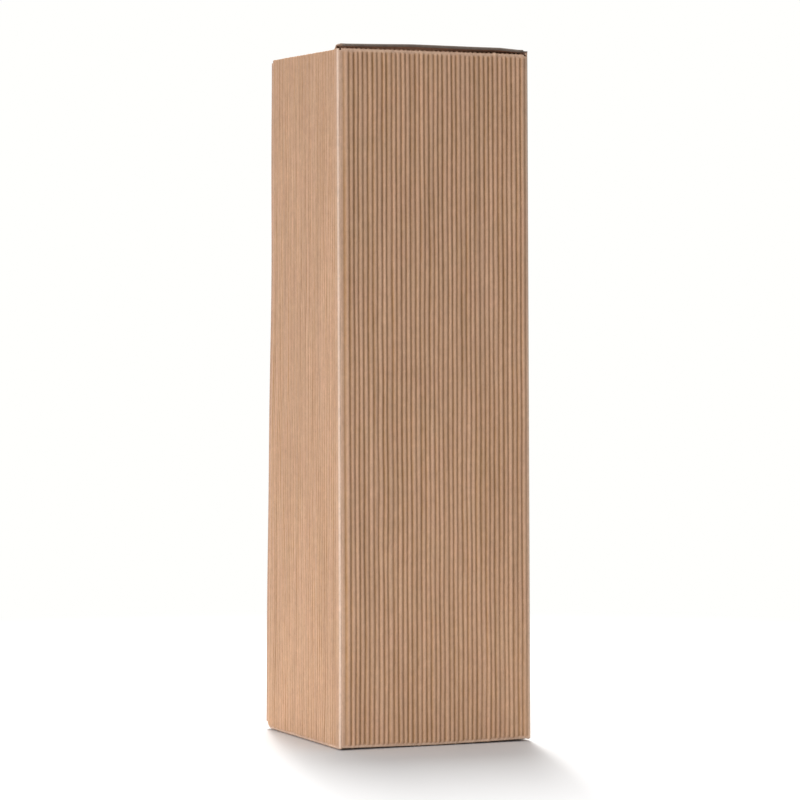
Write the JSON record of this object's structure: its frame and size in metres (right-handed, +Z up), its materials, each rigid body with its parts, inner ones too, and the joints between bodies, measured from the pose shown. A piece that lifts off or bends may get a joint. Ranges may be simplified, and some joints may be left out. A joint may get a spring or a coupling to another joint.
{
  "type": "bottle box",
  "caption": "Tall square carton for one bottle, folded from single-face corrugated kraft board with upright flutes outside, a hinged lid with a tuck flap and a snap-lock base",
  "frame": {"origin": "middle of the base, on the surface that the box stands on", "axes": "+Z is up along the box. -Y is the wide face in view. -X is the narrow face in view, which the tuck flap goes inside. +X is the wall that the lid hinges on."},
  "size_m": [0.1, 0.1, 0.336],
  "materials": {
    "kraft_board": "matte brown kraft, open flutes outside",
    "lid_board": "matte brown kraft, open flutes outside"
  },
  "bodies": {
    "carton": {"carton": "kraft_board"},
    "lid": {"lid": "lid_board"}
  },
  "joints": [
    {"name": "lid", "type": "hinge", "parent": "carton", "child": "lid", "pos_m": [0.04935, 0, 0.33535], "axis": [0, 1, 0], "range_deg": [0, 220]}
  ]
}
